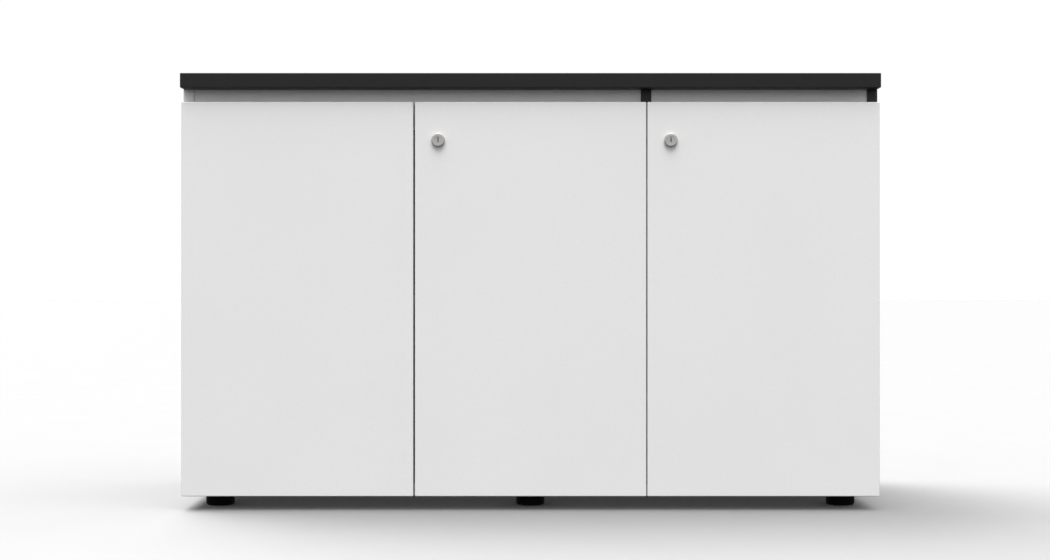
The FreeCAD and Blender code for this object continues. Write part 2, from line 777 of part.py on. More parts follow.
def bezel_rim(edge):
    """Outer front edge of the bezel."""
    if edge.Curve.TypeId != "Part::GeomCircle":
        return False
    return close(edge.Curve.Radius, rim[0]) and close(edge.Curve.Center.z, rim[1])


chamfer(housing, "bezel_edge", bezel_rim)
drawing = sketch(housing, "barrel", "XY_Plane")
ring_of_sides(drawing, "0", "0", "barrel_dia / 2")
pad(housing, drawing, LOCK_END, back=True)
drawing = sketch(housing, "bore", "XY_Plane", "bezel_proud")
ring_of_sides(drawing, "0", "0", PLUG_BORE, MANY_SIDES)
pocket(housing, drawing, f"bezel_proud + {LOCK_END}")

lock_nut_outer = doc.addObject("Part::Prism", "lock_nut_outer")
lock_nut_outer.Polygon = HEX_SIDES
bind(lock_nut_outer, "Circumradius", "lock_nut_flats / sqrt(3)")
bind(lock_nut_outer, "Height", "lock_nut_thick")
NUT_START = "-door_thick - lock_nut_thick"
NUT_BORE = "barrel_dia / 2 + plug_run"
bind(lock_nut_outer, "Placement.Base.z", NUT_START)
nut_bore = rod("lock_nut_bore", "z", "0", "0", NUT_START, NUT_BORE, "lock_nut_thick")
lock_nut = cut("lock_nut_master", lock_nut_outer, [nut_bore])

plug = new_body("plug_master")
drawing = sketch(plug, "barrel", "XY_Plane", f"-{LOCK_END}")
circle(drawing, "0", "0", "plug_dia / 2")
pad(plug, drawing, f"{LOCK_END} + bezel_proud - plug_recess")
drawing = sketch(plug, "tang", "XY_Plane", f"-{LOCK_END}")
rectangle(drawing, ("-tang / 2", "tang / 2"), ("-tang / 2", "tang / 2"))
pad(plug, drawing, "cam_gap + cam_thick", back=True)
drawing = sketch(plug, "keyway", "XY_Plane", "bezel_proud - plug_recess")
rectangle(drawing, ("-key_width / 2", "key_width / 2"), ("-key_height / 2", "key_height / 2"))
pocket(plug, drawing, "key_depth")


def cam(name, length):
    """Flat lever on the plug's square end, round at the tip."""
    body = new_body(name)
    level = f"-({LOCK_END} + cam_gap + cam_thick)"
    drawing = sketch(body, "lever", "XY_Plane", level)
    rectangle(drawing, ("-cam_width / 2", "cam_width / 2"), (f"-{length}", "cam_width / 2"))
    pad(body, drawing, "cam_thick")
    chamfer(body, "cam_corner", lambda edge: runs_along(edge, V(0, 0, 1)))
    drawing = sketch(body, "square", "XY_Plane", level)
    side = ("-tang / 2 - tang_fit", "tang / 2 + tang_fit")
    rectangle(drawing, side, side)
    pocket(body, drawing, "cam_thick", back=True)
    return body


STRIKE_END = f"({LEFT_DOOR_END} - strike_inset)"
long_cam = cam("long_cam_master", f"({MIDDLE_LOCK_X} - {STRIKE_END} + cam_catch)")
short_cam = cam("short_cam_master", f"({RIGHT_LOCK_X} - {PART_RIGHT} - keeper_sheet - cam_tip_clear)")

OUTWARD = Rotation(V(1, 0, 0), 90)
LOCKS = {
    "middle": (MIDDLE_LOCK_X, long_cam),
    "right": (RIGHT_LOCK_X, short_cam),
}
for side, (x, lever) in LOCKS.items():
    place = [spot(x, DOOR_FRONT, LOCK_Z, OUTWARD)]
    node(copies(f"{side}_lock_housing", [housing], place))
    node(copies(f"{side}_lock_nut", [lock_nut], place))
    node(copies(f"{side}_lock_plug", [plug], place))
    node(copies(f"{side}_lock_cam", [lever], place))

# What the cams catch behind: an angle on the partition and a strike on the left door
CAM_FRONT = f"({DOOR_FRONT} + {LOCK_END} + cam_gap)"
CATCH_BACK = f"({CAM_FRONT} - catch_clear)"
keeper_z = (f"{LOCK_Z} - keeper_height / 2", f"{LOCK_Z} + keeper_height / 2")
catch_y = (f"{CATCH_BACK} - keeper_sheet", CATCH_BACK)
keeper_leg = block("keeper_leg_piece", (PART_RIGHT, f"{PART_RIGHT} + keeper_leg"), catch_y, keeper_z)
foot_y = (f"{CATCH_BACK} - keeper_sheet", f"{CATCH_BACK} - keeper_sheet + keeper_depth")
keeper_foot = block("keeper_foot_piece", (PART_RIGHT, f"{PART_RIGHT} + keeper_sheet"), foot_y, keeper_z)
node(fuse("partition_lock_keeper", [keeper_leg, keeper_foot]))
strike_x = (f"{STRIKE_END} - strike_width", STRIKE_END)
strike_z = (f"{LOCK_Z} - strike_height / 2", f"{LOCK_Z} + strike_height / 2")
node(block("left_strike_plate", strike_x, (DOOR_BACK, CATCH_BACK), strike_z))

# Slide bolt of the left door
GUIDE_HIGH = f"({BOLT_TOP} - guide_nose)"
WINDOW_TOP = f"({GUIDE_HIGH} - guide_eye_height)"
WINDOW_LOW = f"({WINDOW_TOP} - guide_window)"
GUIDE_LOW = f"({WINDOW_LOW} - guide_eye_height)"
eye_x = (f"{BOLT_X} - guide_eye / 2", f"{BOLT_X} + guide_eye / 2")
eye_y = (DOOR_BACK, f"{RAIL_MIDDLE} + guide_eye / 2")
guide_x = (f"{BOLT_X} - guide_width / 2", f"{BOLT_X} + guide_width / 2")
guide_back = block("guide_back", guide_x, (DOOR_BACK, f"{DOOR_BACK} + guide_sheet"), (GUIDE_LOW, GUIDE_HIGH))
eye_high = block("guide_high_eye", eye_x, eye_y, (WINDOW_TOP, GUIDE_HIGH))
eye_low = block("guide_low_eye", eye_x, eye_y, (GUIDE_LOW, WINDOW_LOW))
guide_solid = fuse("guide_solid", [guide_back, eye_high, eye_low])
GUIDE_SPAN = f"{GUIDE_HIGH} - {GUIDE_LOW}"
guide_bore = rod("guide_bore", "z", BOLT_X, RAIL_MIDDLE, GUIDE_LOW, "bolt_dia / 2 + bolt_run", GUIDE_SPAN)
node(cut("left_bolt_guide", guide_solid, [guide_bore]))
BOLT_LOW = f"{BOLT_TOP} - bolt_length"
bolt_stem = rod("bolt_stem", "z", BOLT_X, RAIL_MIDDLE, BOLT_LOW, "bolt_dia / 2", "bolt_length")
KNOB_Z = f"({WINDOW_LOW} + knob_dia / 2 + knob_clear)"
bolt_knob = rod("bolt_knob", "y", BOLT_X, RAIL_MIDDLE, KNOB_Z, "knob_dia / 2", "knob_length")
node(fuse("left_bolt", [bolt_stem, bolt_knob]))
plate_x = (f"{BOLT_X} - bolt_plate_length / 2", f"{BOLT_X} + bolt_plate_length / 2")
plate_y = (f"{RAIL_MIDDLE} - bolt_plate_width / 2", f"{RAIL_MIDDLE} + bolt_plate_width / 2")
bolt_plate = block("bolt_plate", plate_x, plate_y, (BOLT_PLATE_UNDER, RAIL_UNDER))
plate_hole = rod("bolt_plate_hole", "z", BOLT_X, RAIL_MIDDLE, BOLT_PLATE_UNDER, BOLT_HOLE, "bolt_plate_sheet")
node(cut("bolt_keeper_plate", bolt_plate, [plate_hole]))

# Levelling feet and the threaded inserts they turn in
foot = new_body("foot_master")
drawing = sketch(foot, "pad", "XY_Plane")
ring_of_sides(drawing, "0", "0", "foot_dia / 2", MANY_SIDES)
pad(foot, drawing, "foot_height")
chamfer(foot, "foot_edge", lambda edge: close(edge.CenterOfMass.z, 0))
drawing = sketch(foot, "stud", "XY_Plane", "foot_height")
ring_of_sides(drawing, "0", "0", "stud_dia / 2", FEW_SIDES)
pad(foot, drawing, "stud_length")

THREAD_RADIUS = "stud_dia / 2 + stud_run"
nut_outer = rod("nut_outer", "z", "0", "0", "foot_height", "nut_dia / 2", "nut_length", FEW_SIDES)
nut_thread = rod("nut_thread", "z", "0", "0", "foot_height", THREAD_RADIUS, "nut_length", FEW_SIDES)
insert_nut = cut("insert_nut_master", nut_outer, [nut_thread])
nut_spots = []
for name, (x, y) in FOOT_SPOTS.items():
    nut_spots.append(spot(x, y, "0"))
    node(copies(f"{name}_foot", [foot], [nut_spots[-1]]))
node(copies("foot_insert_nuts", [insert_nut], nut_spots))

# Check every object, then write one file for each node
doc.recompute()
for piece in doc.Objects:
    if "Invalid" in piece.State or "Error" in piece.State:
        raise RuntimeError(f"{piece.Name} failed: {piece.State}")
os.makedirs("parts", exist_ok=True)
for piece in nodes:
    shape = piece.Shape
    if shape.isNull() or not shape.isValid():
        raise RuntimeError(f"{piece.Name} has no valid shape")
    shape.exportStep(f"parts/{piece.Label}.step")
print(len(nodes), "nodes written")
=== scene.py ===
import bmesh
import bpy
import math
from mathutils import Matrix, Vector


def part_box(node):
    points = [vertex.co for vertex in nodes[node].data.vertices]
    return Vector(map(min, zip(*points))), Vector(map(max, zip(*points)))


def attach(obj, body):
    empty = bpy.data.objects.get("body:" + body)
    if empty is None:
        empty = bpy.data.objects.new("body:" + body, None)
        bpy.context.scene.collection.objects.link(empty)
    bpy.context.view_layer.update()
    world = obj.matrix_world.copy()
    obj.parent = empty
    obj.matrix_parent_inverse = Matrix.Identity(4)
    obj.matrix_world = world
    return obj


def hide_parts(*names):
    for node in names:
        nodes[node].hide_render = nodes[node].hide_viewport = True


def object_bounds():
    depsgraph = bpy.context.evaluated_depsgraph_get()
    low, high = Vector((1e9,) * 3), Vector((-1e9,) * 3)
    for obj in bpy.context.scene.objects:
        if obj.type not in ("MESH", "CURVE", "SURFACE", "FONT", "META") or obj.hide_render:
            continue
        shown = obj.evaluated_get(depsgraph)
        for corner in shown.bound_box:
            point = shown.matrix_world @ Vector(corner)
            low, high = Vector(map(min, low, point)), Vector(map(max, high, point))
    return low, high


# Low office cupboard: materials, small fasteners, turned details, floor, light and camera.
# Metres, front towards -Y, floor at zero.

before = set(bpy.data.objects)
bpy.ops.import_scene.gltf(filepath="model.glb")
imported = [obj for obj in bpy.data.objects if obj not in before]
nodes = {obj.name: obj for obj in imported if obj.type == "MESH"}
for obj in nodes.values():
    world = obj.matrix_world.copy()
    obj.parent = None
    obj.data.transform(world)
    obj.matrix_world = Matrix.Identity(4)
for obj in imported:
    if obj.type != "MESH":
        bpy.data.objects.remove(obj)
cad_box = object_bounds()
scene = bpy.context.scene

MM = 0.001
FULL_TURN = 2 * math.pi
UP = Vector((0, 0, 1))
RIGHT = Vector((1, 0, 0))
REAR = Vector((0, 1, 0))

# Places read from the frame
DOOR_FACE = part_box("left_door")[0].y
DOOR_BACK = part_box("left_door")[1].y
FLOOR = cad_box[0].z
BASE_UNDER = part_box("base_panel")[0].z
LEFT_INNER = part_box("left_side_panel")[1].x
RIGHT_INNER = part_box("right_side_panel")[0].x
PARTITION_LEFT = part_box("partition_panel")[0].x
PARTITION_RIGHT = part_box("partition_panel")[1].x

# Doors with the way along X from their hinges into the bay, and the doors that have a lock
HINGE_WAYS = {"left": 1, "middle": -1, "right": -1}
SIDES = tuple(HINGE_WAYS)
LOCKED = ("middle", "right")


# Materials

# Noise mostly lies between these two values
NOISE_LOW = 0.3
NOISE_HIGH = 0.7
PLAIN_DETAIL = 3.0
FINE_DETAIL = 2.0
RICH_DETAIL = 4.0
PLAIN_SHINE = 0.5


def add(tree, kind, **values):
    """New shader node with its properties set."""
    item = tree.nodes.new("ShaderNode" + kind)
    for key, value in values.items():
        setattr(item, key, value)
    return item


def noise(tree, place, scale, detail=PLAIN_DETAIL):
    """Noise at a place; the scale counts its cells to the metre."""
    item = add(tree, "TexNoise")
    item.inputs["Scale"].default_value = scale
    item.inputs["Detail"].default_value = detail
    tree.links.new(place, item.inputs["Vector"])
    return item.outputs["Fac"]


def spread(tree, value, low, high):
    """Noise as a value between two ends."""
    item = add(tree, "MapRange")
    item.inputs["From Min"].default_value = NOISE_LOW
    item.inputs["From Max"].default_value = NOISE_HIGH
    item.inputs["To Min"].default_value = low
    item.inputs["To Max"].default_value = high
    tree.links.new(value, item.inputs["Value"])
    return item.outputs["Result"]


def tone_mix(tree, share, first, second):
    """Colour between two tones; a tone is a colour or another node's output."""
    item = add(tree, "Mix", data_type="RGBA")
    tree.links.new(share, item.inputs["Factor"])
    # Inputs 6 and 7 of a Mix node are its two colours, and output 2 is the mixed one
    for socket, tone in ((item.inputs[6], first), (item.inputs[7], second)):
        if isinstance(tone, tuple):
            socket.default_value = (*tone, 1.0)
        else:
            tree.links.new(tone, socket)
    return item.outputs[2]


def relief(tree, height, shader, strength, depth):
    """Bump of a depth in metres on a shader."""
    item = add(tree, "Bump")
    item.inputs["Strength"].default_value = strength
    item.inputs["Distance"].default_value = depth
    tree.links.new(height, item.inputs["Height"])
    tree.links.new(item.outputs["Normal"], shader.inputs["Normal"])


def new_surface(name, metallic=0.0, shine=PLAIN_SHINE):
    """Material with its tree, its shader and the coordinates of the part in metres."""
    material = bpy.data.materials.new(name)
    material.use_nodes = True
    tree = material.node_tree
    shader = tree.nodes["Principled BSDF"]
    shader.inputs["Metallic"].default_value = metallic
    shader.inputs["Specular IOR Level"].default_value = shine
    place = add(tree, "TexCoord")
    return material, tree, shader, place


def stretched(tree, place, scale):
    """Place with its axes scaled apart."""
    item = add(tree, "Mapping")
    item.inputs["Scale"].default_value = scale
    tree.links.new(place, item.inputs["Vector"])
    return item.outputs["Vector"]


# A side of a board that looks along its axis by more than the limit is a face, and the others are bands
FACE_LIMIT = 0.9
BOARD_CLOUDS = 4.0
EMBOSS_SCALE = 1100.0
EMBOSS_STRENGTH = 0.12
EMBOSS_DEPTH = 0.15 * MM
SPECK_SCALE = 341.0
SPECK_STRENGTH = 0.5
FACE_SPREAD = 0.06
BAND_SMOOTHER = 0.1
BAND_SPREAD = 0.04


def board(name, axis, face, band, rough, shine=PLAIN_SHINE):
    """Faced board: finely embossed faces across one axis, smoother bands on the other sides."""
    material, tree, shader, place = new_surface(name, shine=shine)
    parts = add(tree, "SeparateXYZ")
    tree.links.new(place.outputs["Normal"], parts.inputs["Vector"])
    size = add(tree, "Math", operation="ABSOLUTE")
    tree.links.new(parts.outputs[axis], size.inputs[0])
    edge = add(tree, "Math", operation="LESS_THAN")
    edge.inputs[1].default_value = FACE_LIMIT
    tree.links.new(size.outputs[0], edge.inputs[0])
    here = place.outputs["Object"]
    clouds = noise(tree, here, BOARD_CLOUDS)
    grain = noise(tree, here, EMBOSS_SCALE, FINE_DETAIL)
    specks = noise(tree, here, SPECK_SCALE, RICH_DETAIL)
    light = tone_mix(tree, spread(tree, clouds, 0.0, 1.0), face[0], face[1])
    speckled = tone_mix(tree, spread(tree, specks, 0.0, SPECK_STRENGTH), light, face[2])
    banded = tone_mix(tree, spread(tree, specks, 0.0, 1.0), band[0], band[1])
    tree.links.new(tone_mix(tree, edge.outputs[0], speckled, banded), shader.inputs["Base Color"])
    gloss = add(tree, "Mix", data_type="FLOAT")
    tree.links.new(edge.outputs[0], gloss.inputs["Factor"])
    on_band = rough - BAND_SMOOTHER
    # Inputs 2 and 3 of a Mix node are its two numbers
    tree.links.new(spread(tree, grain, rough - FACE_SPREAD, rough + FACE_SPREAD), gloss.inputs[2])
    tree.links.new(spread(tree, specks, on_band - BAND_SPREAD, on_band + BAND_SPREAD), gloss.inputs[3])
    tree.links.new(gloss.outputs[0], shader.inputs["Roughness"])
    relief(tree, grain, shader, EMBOSS_STRENGTH, EMBOSS_DEPTH)
    return material


PLASTIC_CLOUDS = 0.02
PLASTIC_SPREAD = 0.07
PLASTIC_DEPTH = 0.1 * MM


def plastic(name, tones, rough, grain, bump, shine=PLAIN_SHINE):
    """Moulded or extruded plastic with a fine grain and clouds that are much wider."""
    material, tree, shader, place = new_surface(name, shine=shine)
    here = place.outputs["Object"]
    fine = noise(tree, here, grain, FINE_DETAIL)
    clouds = noise(tree, here, grain * PLASTIC_CLOUDS)
    colour = tone_mix(tree, spread(tree, clouds, 0.0, 1.0), tones[0], tones[1])
    tree.links.new(colour, shader.inputs["Base Color"])
    gloss = spread(tree, fine, rough - PLASTIC_SPREAD, rough + PLASTIC_SPREAD)
    tree.links.new(gloss, shader.inputs["Roughness"])
    relief(tree, fine, shader, bump, PLASTIC_DEPTH)
    return material


STROKE_SCALE = 30.0
METAL_CLOUDS = 160.0
METAL_SPREAD = 0.08
METAL_BUMP = 0.05
METAL_DEPTH = 0.05 * MM


def metal(name, tones, rough, stroke, metallic=1.0):
    """Plated metal with fine strokes across one axis."""
    material, tree, shader, place = new_surface(name, metallic=metallic)
    here = place.outputs["Object"]
    lines = noise(tree, stretched(tree, here, stroke), STROKE_SCALE, RICH_DETAIL)
    clouds = noise(tree, here, METAL_CLOUDS)
    colour = tone_mix(tree, spread(tree, clouds, 0.0, 1.0), tones[0], tones[1])
    tree.links.new(colour, shader.inputs["Base Color"])
    gloss = spread(tree, lines, rough - METAL_SPREAD, rough + METAL_SPREAD)
    tree.links.new(gloss, shader.inputs["Roughness"])
    relief(tree, lines, shader, METAL_BUMP, METAL_DEPTH)
    return material


FIBRE_STRETCH = (0.2, 1.0, 1.0)
FIBRE_SCALE = 900.0
FIBRE_DETAIL = 5.0
FIBRE_BUMP = 0.2
FIBRE_DEPTH = 0.1 * MM
WOOD_SMOOTH = 0.6
WOOD_ROUGH = 0.8


def raw_wood(name, tones):
    """Turned beech: long fibres and darker flecks."""
    material, tree, shader, place = new_surface(name)
    here = stretched(tree, place.outputs["Object"], FIBRE_STRETCH)
    fibres = noise(tree, here, FIBRE_SCALE, FIBRE_DETAIL)
    colour = tone_mix(tree, spread(tree, fibres, 0.0, 1.0), tones[0], tones[1])
    tree.links.new(colour, shader.inputs["Base Color"])
    tree.links.new(spread(tree, fibres, WOOD_SMOOTH, WOOD_ROUGH), shader.inputs["Roughness"])
    relief(tree, fibres, shader, FIBRE_BUMP, FIBRE_DEPTH)
    return material


# Tones: a board's face has two clouds and its specks, every other tone two ends
WHITE_FACE = ((0.800, 0.800, 0.798), (0.780, 0.780, 0.778), (0.745, 0.745, 0.742))
WHITE_BAND = ((0.790, 0.790, 0.788), (0.770, 0.770, 0.768))
BLACK_FACE = ((0.010, 0.010, 0.0105), (0.008, 0.008, 0.0085), (0.015, 0.015, 0.0155))
BLACK_BAND = ((0.007, 0.007, 0.0072), (0.010, 0.010, 0.0103))
# The white band on the left edge is toned darker than the white board: painted shade of the recess under the
# top
PALE_STRIP_WITH_PAINTED_SHADE = ((0.730, 0.730, 0.728), (0.710, 0.710, 0.708))
DARK_STRIP = ((0.021, 0.021, 0.0214), (0.025, 0.025, 0.0255))
NYLON = ((0.0025, 0.0025, 0.0025), (0.004, 0.004, 0.004))
CLEAR_PAD = ((0.62, 0.63, 0.63), (0.70, 0.70, 0.69))
ZINC = ((0.60, 0.61, 0.62), (0.52, 0.53, 0.55))
BRIGHT_NICKEL = ((0.63, 0.62, 0.60), (0.55, 0.54, 0.53))
SATIN_NICKEL = ((0.50, 0.49, 0.474), (0.44, 0.432, 0.418))
BEECH = ((0.50, 0.33, 0.17), (0.40, 0.25, 0.12))
WHITE_ROUGH = 0.46
BLACK_ROUGH = 0.5
BLACK_SHINE = 0.3
NYLON_SHINE = 0.06
ACROSS_X = (14.0, 1.0, 1.0)
ACROSS_Z = (1.0, 1.0, 14.0)
WIDE_ACROSS_Z = (1.0, 1.0, 10.0)

white_x = board("white_board_x", "X", WHITE_FACE, WHITE_BAND, WHITE_ROUGH)
white_y = board("white_board_y", "Y", WHITE_FACE, WHITE_BAND, WHITE_ROUGH)
white_z = board("white_board_z", "Z", WHITE_FACE, WHITE_BAND, WHITE_ROUGH)
black_z = board("black_board_z", "Z", BLACK_FACE, BLACK_BAND, BLACK_ROUGH, BLACK_SHINE)
# White edge band with its tone darkened as painted shade of the recess
white_strip_painted_shade = plastic("white_strip_painted_shade", PALE_STRIP_WITH_PAINTED_SHADE, rough=0.4, grain=1500.0, bump=0.05)
black_strip = plastic("black_strip", DARK_STRIP, rough=0.4, grain=1500.0, bump=0.05, shine=BLACK_SHINE)
black_nylon = plastic("black_nylon", NYLON, rough=0.55, grain=1300.0, bump=0.2, shine=NYLON_SHINE)
soft_pad = plastic("soft_pad", CLEAR_PAD, rough=0.25, grain=700.0, bump=0.05)
zinc = metal("zinc_plate", ZINC, rough=0.34, stroke=ACROSS_Z)
pressed = metal("pressed_nickel", BRIGHT_NICKEL, rough=0.26, stroke=ACROSS_X)
satin = metal("satin_nickel", SATIN_NICKEL, rough=0.5, stroke=WIDE_ACROSS_Z, metallic=0.55)
beech = raw_wood("beech", BEECH)

# Nodes of the frame by kind
UPRIGHTS = ("left_side_panel", "right_side_panel", "partition_panel")
RAILS = ("wide_bay_front_rail", "narrow_bay_front_rail")
SHELVES = ("wide_bay_shelf", "narrow_bay_shelf")
DOORS = tuple(f"{side}_door" for side in SIDES)
PALE_BANDS = ("left_edge_band",)
DARK_BANDS = ("partition_edge_band", "right_edge_band")
LOCK_BACKS = tuple(f"{side}_lock_{item}" for item in ("nut", "cam") for side in LOCKED)
LOCK_FRONTS = tuple(f"{side}_lock_{item}" for item in ("housing", "plug") for side in LOCKED)
SHEET_METAL = ("top_fixing_angles", "partition_lock_keeper", "bolt_keeper_plate", "left_strike_plate",
               "left_bolt_guide")
HINGE_LINKS = tuple(f"{side}_hinge_links" for side in SIDES)
HINGE_BODIES = tuple(f"{side}_hinge_{item}" for side in SIDES for item in ("cups", "arms", "plates"))

FINISH = {
    white_x: UPRIGHTS,
    white_y: ("back_panel",) + RAILS + DOORS,
    white_z: ("base_panel",) + SHELVES,
    black_z: ("top_panel",),
    white_strip_painted_shade: PALE_BANDS,
    black_strip: DARK_BANDS,
    beech: ("joint_dowels",),
    zinc: SHEET_METAL + LOCK_BACKS + ("foot_insert_nuts",),
    satin: LOCK_FRONTS + ("left_bolt",),
    pressed: HINGE_LINKS + HINGE_BODIES,
}
for material, names in FINISH.items():
    for name in names:
        slots = nodes[name].data.materials
        slots.clear()
        slots.append(material)


# Soft edges: small bevels on nodes of the frame, widest on boards; hinge links are only shaded smooth

BOARD_EDGE = 0.5 * MM
THIN_EDGE = 0.3 * MM
FITTING_EDGE = 0.2 * MM
NO_BEVEL = 0.0
EDGES = {
    BOARD_EDGE: UPRIGHTS + RAILS + SHELVES + ("base_panel", "back_panel"),
    THIN_EDGE: PALE_BANDS + DARK_BANDS + SHEET_METAL + LOCK_BACKS,
    FITTING_EDGE: HINGE_BODIES + ("left_bolt", "foot_insert_nuts"),
    NO_BEVEL: HINGE_LINKS,
}
SHARP_ANGLE = math.radians(40)
BEVEL_STEPS = 2
WELD_REACH = 0.001 * MM


def smoothing_steps():
    """Modifier group that shades faces smooth and keeps the edges sharper than an angle."""
    tree = bpy.data.node_groups.new("smooth_faces", "GeometryNodeTree")
    tree.interface.new_socket("Geometry", in_out="INPUT", socket_type="NodeSocketGeometry")
    tree.interface.new_socket("Geometry", in_out="OUTPUT", socket_type="NodeSocketGeometry")
    start = tree.nodes.new("NodeGroupInput")
    bend = tree.nodes.new("GeometryNodeInputMeshEdgeAngle")
    gentle = tree.nodes.new("FunctionNodeCompare")
    gentle.operation = "LESS_THAN"
    gentle.inputs[1].default_value = SHARP_ANGLE
    edges = tree.nodes.new("GeometryNodeSetShadeSmooth")
    edges.domain = "EDGE"
    faces = tree.nodes.new("GeometryNodeSetShadeSmooth")
    finish = tree.nodes.new("NodeGroupOutput")
    tree.links.new(bend.outputs["Unsigned Angle"], gentle.inputs[0])
    tree.links.new(gentle.outputs[0], edges.inputs["Shade Smooth"])
    tree.links.new(start.outputs[0], edges.inputs["Geometry"])
    tree.links.new(edges.outputs[0], faces.inputs["Geometry"])
    tree.links.new(faces.outputs[0], finish.inputs[0])
    return tree


smooth_faces = smoothing_steps()
for width, names in EDGES.items():
    for name in names:
        modifiers = nodes[name].modifiers
        weld = modifiers.new("weld", "WELD")
        weld.merge_threshold = WELD_REACH
        if width:
            bevel = modifiers.new("soft_edges", "BEVEL")
            bevel.width = width
            bevel.segments = BEVEL_STEPS
            bevel.limit_method = "ANGLE"
            bevel.angle_limit = SHARP_ANGLE
        smooth = modifiers.new("smooth", "NODES")
        smooth.node_group = smooth_faces
        even = modifiers.new("even_light", "WEIGHTED_NORMAL")
        even.keep_sharp = True


# New pieces

PIECE_SHARP = math.radians(35)
ARC_STEPS = 6


def piece(name, mesh, material, body):
    """Object from a bmesh, riding on a body."""
    bmesh.ops.recalc_face_normals(mesh, faces=mesh.faces)
    data = bpy.data.meshes.new(name)
    mesh.to_mesh(data)
    mesh.free()
    for face in data.polygons:
        face.use_smooth = True
    data.set_sharp_from_angle(angle=PIECE_SHARP)
    data.materials.append(material)
    made = bpy.data.objects.new(name, data)
    scene.collection.objects.link(made)
    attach(made, body)
    return made


def standing(centre, outward):
    """Matrix that puts a local +Z shape at a point, pointing outward."""
    turn = Vector(outward).to_track_quat("Z", "Y").to_matrix().to_4x4()
    return Matrix.Translation(centre) @ turn


def ring(mesh, place, radius, height, sides):
    """Loop of points around local Z."""
    made = []
    for index in range(sides):
        angle = FULL_TURN * index / sides
        point = Vector((radius * math.cos(angle), radius * math.sin(angle), height))
        made.append(mesh.verts.new(place @ point))
    return made


def wall(mesh, low, high):
    """Quads between two loops of as many points."""
    for index in range(len(low)):
        following = (index + 1) % len(low)
        mesh.faces.new((low[index], low[following], high[following], high[index]))


def turned(mesh, profile, place, sides):
    """Body of revolution about local Z from (radius, height) pairs."""
    rings = []
    for radius, height in profile:
        if radius == 0:
            rings.append([mesh.verts.new(place @ Vector((0, 0, height)))])
        else:
            rings.append(ring(mesh, place, radius, height, sides))
    for low, high in zip(rings, rings[1:]):
        for index in range(sides):
            following = (index + 1) % sides
            corners = [low[index % len(low)], low[following % len(low)],
                       high[following % len(high)], high[index % len(high)]]
            mesh.faces.new(list(dict.fromkeys(corners)))


def rounded(first, last):
    """Quarter arc of (radius, height) pairs; it leaves level and arrives upright."""
    points = []
    for index in range(ARC_STEPS + 1):
        angle = math.pi / 2 * index / ARC_STEPS
        across = first[0] + (last[0] - first[0]) * math.sin(angle)
        along = first[1] + (last[1] - first[1]) * (1 - math.cos(angle))
        points.append((across, along))
    return points


# Screw heads in shares of their radius and rise: the steps of the head, and the cross with its narrower floor
HEAD_STEPS = ((1.0, 0.0), (1.0, 0.35), (0.92, 0.75), (0.72, 1.0))
HEAD_SIDES = 24
CROSS_REACH = 0.56
CROSS_HALF = 0.14
CROSS_NARROWING = 0.7
CROSS_FLOOR = 0.2
SPIN_STEP = 0.7


def cross(mesh, place, size, height):
    """Loop of points around a cross of four equal arms."""
    reach, half = CROSS_REACH * size, CROSS_HALF * size
    made = []
    for quarter in range(4):
        turn = Matrix.Rotation(quarter * math.pi / 2, 2)
        for corner in ((reach, -half), (reach, half), (half, half)):
            flat = turn @ Vector(corner)
            made.append(mesh.verts.new(place @ Vector((flat.x, flat.y, height))))
    return made


def screw(mesh, place, radius, rise):
    """Pan head with a cross recess."""
    rings = []
    for across, along in HEAD_STEPS:
        rings.append(ring(mesh, place, across * radius, along * rise, HEAD_SIDES))
    for low, high in zip(rings, rings[1:]):
        wall(mesh, low, high)
    mesh.faces.new(list(reversed(rings[0])))
    mouth = cross(mesh, place, radius, rise)
    recess = cross(mesh, place, CROSS_NARROWING * radius, CROSS_FLOOR * rise)
    wall(mesh, recess, mouth)
    mesh.faces.new(recess)
    edges = []
    for loop in (rings[-1], mouth):
        for index, vert in enumerate(loop):
            edges.append(mesh.edges.get((vert, loop[(index + 1) % len(loop)])))
    bmesh.ops.bridge_loops(mesh, edges=edges)


def screws(name, places, head, body):
    """One object with a screw head of one (radius, rise) at each (centre, outward)."""
    mesh = bmesh.new()
    for index, (centre, outward) in enumerate(places):
        spin = Matrix.Rotation(SPIN_STEP * index, 4, "Z")
        screw(mesh, standing(centre, outward) @ spin, *head)
    return piece(name, mesh, zinc, body)


# Screws of the hinges
WING_HALF = 25 * MM
WING_THICK = 2.5 * MM
WING_SCREW = 16 * MM
WING_FROM_RIDGE = 11 * MM
WING_HEAD = (3.6 * MM, 1.6 * MM)
ARM_SCREWS = (26 * MM, 44 * MM)
ARM_HEAD = (3.1 * MM, 1.2 * MM)
EAR_SCREW = 22.5 * MM
EAR_FROM_EDGE = 30 * MM
EAR_HEAD = (3.6 * MM, 0.8 * MM)

for side, way in HINGE_WAYS.items():
    inward = RIGHT * way
    low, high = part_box(f"{side}_hinge_plates")
    wall_x = low.x if way > 0 else high.x
    levels = (low.z + WING_HALF, high.z - WING_HALF)
    wing_y = low.y + WING_FROM_RIDGE
    places = []
    for level in levels:
        for shift in (-WING_SCREW, WING_SCREW):
            places.append((Vector((wall_x + way * WING_THICK, wing_y, level + shift)), inward))
    screws(f"{side}_hinge_plate_screws", places, WING_HEAD, "carcass")

    low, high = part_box(f"{side}_hinge_arms")
    web_x = high.x if way > 0 else low.x
    places = []
    for level in levels:
        for reach in ARM_SCREWS:
            places.append((Vector((web_x, low.y + reach, level)), inward))
    screws(f"{side}_hinge_arm_screws", places, ARM_HEAD, "carcass")

    low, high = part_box(f"{side}_door")
    hinge_edge = low.x if way > 0 else high.x
    flange_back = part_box(f"{side}_hinge_cups")[1].y
    places = []
    for level in levels:
        for shift in (-EAR_SCREW, EAR_SCREW):
            places.append((Vector((hinge_edge + way * EAR_FROM_EDGE, flange_back, level + shift)), REAR))
    screws(f"{side}_hinge_cup_screws", places, EAR_HEAD, f"{side}_leaf")

